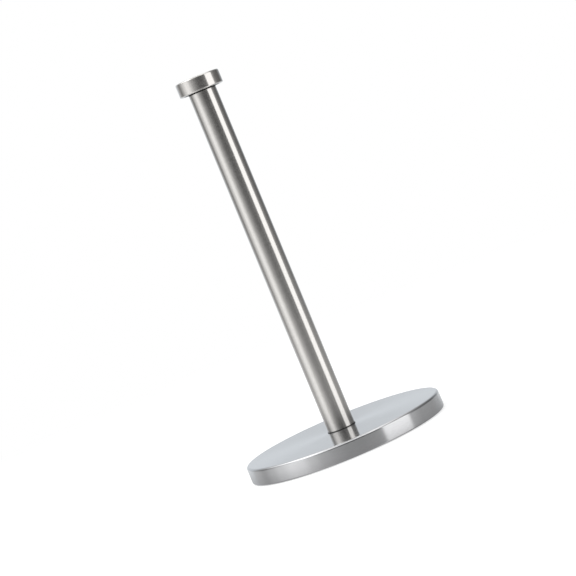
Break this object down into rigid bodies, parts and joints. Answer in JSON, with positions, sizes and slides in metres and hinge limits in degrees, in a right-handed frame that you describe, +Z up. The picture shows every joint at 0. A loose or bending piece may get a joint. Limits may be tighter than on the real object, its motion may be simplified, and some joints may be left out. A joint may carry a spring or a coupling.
{
  "type": "paper towel holder",
  "caption": "Freestanding paper towel holder: a flat round weighted base with an upright turning pole and a short screw-on cap at its top.",
  "frame": {"origin": "centre of the underside, on the surface that the holder stands on", "axes": "+Z up along the pole, towards the cap; the body is round about Z, so X and Y are free"},
  "size_m": [0.165, 0.165, 0.316],
  "materials": {
    "brushed_base": "brushed stainless steel, the top nearly mirror bright",
    "brushed_pole": "stainless tube with a fine satin brush",
    "brushed_cap": "stainless steel with a fine satin brush",
    "cast_ballast": "rough casting, black primer",
    "black_plate": "black powder coat",
    "grip_rubber": "soft matte rubber",
    "black_nylon": "moulded black nylon",
    "zinc_fastener": "bright zinc plate",
    "spring_steel": "blued spring steel",
    "turned_steel": "turned steel",
    "insert_brass": "machined brass"
  },
  "bodies": {
    "base": {"base_cover": "brushed_base", "ballast_disc": "cast_ballast", "bottom_plate": "black_plate", "plate_screws": "zinc_fastener", "grip_ring": "grip_rubber", "tie_rod": "zinc_fastener", "rod_nut": "zinc_fastener", "lock_washer": "spring_steel", "rod_washer": "zinc_fastener", "hub_gasket": "grip_rubber", "foot_hub": "turned_steel", "hub_nut": "zinc_fastener", "top_washer": "zinc_fastener", "top_lock_nut": "zinc_fastener"},
    "pole": {"pole_tube": "brushed_pole", "lower_bush": "black_nylon", "upper_bush": "black_nylon"},
    "cap_seat": {"cap_washer": "black_nylon"},
    "cap": {"cap_shell": "brushed_cap", "cap_core": "black_nylon", "cap_insert": "insert_brass"}
  },
  "joints": [
    {"name": "pole_spin", "type": "hinge", "parent": "base", "child": "pole", "pos_m": [0, 0, 0], "axis": [0, 0, 1], "continuous": true},
    {"name": "cap_rise", "type": "slide", "parent": "base", "child": "cap_seat", "axis": [0, 0, 1], "range_m": [0, 0.0075]},
    {"name": "cap_turn", "type": "hinge", "parent": "cap_seat", "child": "cap", "pos_m": [0, 0, 0], "axis": [0, 0, 1], "range_deg": [0, 2160]}
  ],
  "couplings": [
    {"joint": "cap_rise", "follows": "cap_turn", "m_per_rad": 0.00019894}
  ]
}
